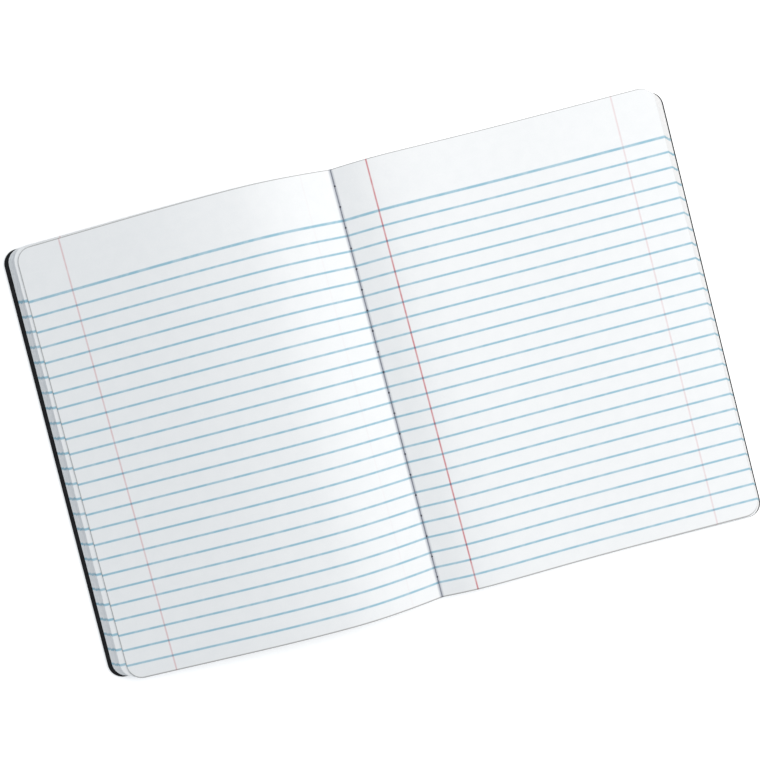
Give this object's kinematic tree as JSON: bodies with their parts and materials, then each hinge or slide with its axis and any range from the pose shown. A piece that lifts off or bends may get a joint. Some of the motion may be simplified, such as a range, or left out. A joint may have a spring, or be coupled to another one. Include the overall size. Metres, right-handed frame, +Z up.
{
  "type": "open composition notebook",
  "caption": "Sewn, wide-ruled notebook lying open at its centre spread on two black board covers joined by a cloth tape.",
  "frame": {"origin": "on the table, under the middle of the spine", "axes": "+X across the spread to the right page, +Y up the page to the head, +Z up from the table"},
  "size_m": [0.381, 0.2513, 0.0202],
  "materials": {
    "leaf_paper": "matte",
    "black_board": "satin",
    "black_cloth": "matte",
    "grey_thread": "matte"
  },
  "bodies": {
    "leaf_block": {"pages": "leaf_paper", "spine_tape": "black_cloth", "needle_thread": "grey_thread", "bobbin_thread": "grey_thread"},
    "front_board": {"front_cover": "black_board"},
    "back_board": {"back_cover": "black_board"}
  },
  "joints": [
    {"name": "front_cover_hinge", "type": "hinge", "parent": "leaf_block", "child": "front_board", "pos_m": [-0.005, 0, 0.0003], "axis": [0, -1, 0], "range_deg": [0, 90], "deforming": ["spine_tape"]},
    {"name": "back_cover_hinge", "type": "hinge", "parent": "leaf_block", "child": "back_board", "pos_m": [0.005, 0, 0.0003], "axis": [0, 1, 0], "range_deg": [0, 90], "deforming": ["spine_tape"]}
  ]
}
